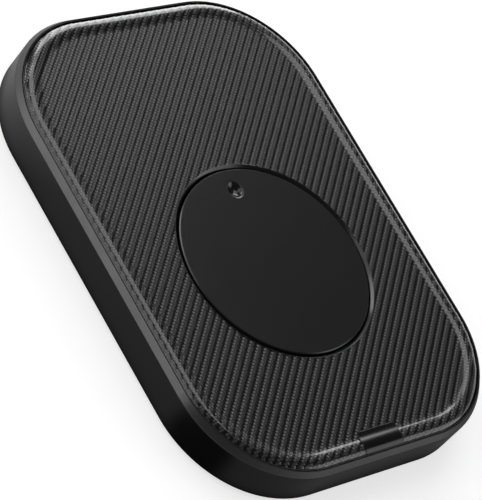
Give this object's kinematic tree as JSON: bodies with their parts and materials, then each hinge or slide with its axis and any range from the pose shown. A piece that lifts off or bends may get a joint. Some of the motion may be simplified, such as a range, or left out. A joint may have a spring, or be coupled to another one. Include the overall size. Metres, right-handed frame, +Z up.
{
  "type": "mouse jiggler",
  "caption": "Slim rounded pad on rubber feet, with a woven-look top, a flush motor-driven turntable under the mouse, a sprung power key at the front and a USB-C power inlet at the back.",
  "frame": {"origin": "on the desk under the middle of the pad's outline, level with the undersides of the feet", "axes": "+Z up; -Y towards the front edge with the power key; +Y towards the far edge with the USB-C inlet; +X to the right, seen from the front"},
  "size_m": [0.075, 0.104, 0.0103],
  "materials": {
    "tray_plastic": "fine-grained matt moulding",
    "cover_plastic": "satin moulding, smooth on the lip round the turntable",
    "woven_skin": "glossy two-by-two twill weave, charcoal",
    "key_plastic": "smooth, semi-gloss",
    "disc_plastic": "smooth satin",
    "gear_plastic": "natural acetal, satin",
    "washer_plastic": "natural nylon, satin",
    "case_plastic": "satin moulding",
    "socket_plastic": "ivory nylon, satin",
    "tongue_plastic": "satin moulding",
    "plunger_plastic": "satin moulding",
    "chip_mould": "matt moulding compound",
    "led_lens": "clear lens over a white base",
    "board_laminate": "green solder mask, semi-gloss",
    "lead_insulation": "satin insulation",
    "foot_rubber": "matt silicone",
    "brass": "hobbed, bright",
    "steel": "ground, bright",
    "spring_steel": "rolled strip",
    "can_steel": "drawn and nickel-plated",
    "screw_steel": "black zinc",
    "pin_metal": "tin-plated",
    "capacitor_can": "bright drawn can"
  },
  "bodies": {
    "pad": {"base_tray": "tray_plastic", "top_cover": "cover_plastic", "woven_skin": "woven_skin", "spindle": "steel", "thrust_washer": "washer_plastic", "retaining_clip": "spring_steel", "reduction_gear_pin": "steel", "gearbox_case": "case_plastic", "motor_can": "can_steel", "motor_end_cap": "case_plastic", "motor_strap": "spring_steel", "motor_leads": "lead_insulation", "motor_socket": "socket_plastic", "motor_plug": "socket_plastic", "main_board": "board_laminate", "usb_shell": "can_steel", "usb_tongue": "tongue_plastic", "switch_body": "tongue_plastic", "status_led": "led_lens", "controller_chip": "chip_mould", "driver_chip": "chip_mould", "chip_pins": "pin_metal", "board_capacitors": "capacitor_can", "chip_resistors": "chip_mould", "rubber_feet": "foot_rubber", "cover_screws": "screw_steel", "board_screws": "screw_steel", "strap_screws": "screw_steel"},
    "turntable": {"turntable_disc": "disc_plastic", "turntable_gear": "gear_plastic"},
    "reduction_gear": {"reduction_gear": "gear_plastic"},
    "motor_pinion": {"motor_pinion": "brass", "motor_output_shaft": "steel"},
    "power_key": {"power_key": "key_plastic"},
    "switch_plunger": {"switch_plunger": "plunger_plastic"}
  },
  "joints": [
    {"name": "turntable_spin", "type": "hinge", "parent": "pad", "child": "turntable", "pos_m": [0, -0.00825, 0.01], "axis": [0, 0, 1], "continuous": true},
    {"name": "reduction_gear_spin", "type": "hinge", "parent": "pad", "child": "reduction_gear", "pos_m": [0.0117, 0.01201, 0.006], "axis": [0, 0, 1], "continuous": true},
    {"name": "motor_pinion_spin", "type": "hinge", "parent": "pad", "child": "motor_pinion", "pos_m": [-0.00052, 0.01646, 0.007], "axis": [0, 0, 1], "continuous": true},
    {"name": "power_key_press", "type": "slide", "parent": "pad", "child": "power_key", "axis": [0, 0, -1], "range_m": [0, 0.00035], "stiffness_N_per_m": 1500, "springref_m": -0.0001},
    {"name": "switch_plunger_press", "type": "slide", "parent": "pad", "child": "switch_plunger", "axis": [0, 0, -1], "range_m": [0, 0.00035]}
  ],
  "couplings": [
    {"joint": "reduction_gear_spin", "follows": "turntable_spin", "ratio": -4.5714},
    {"joint": "motor_pinion_spin", "follows": "turntable_spin", "ratio": 15.238},
    {"joint": "switch_plunger_press", "follows": "power_key_press", "ratio": 1}
  ]
}
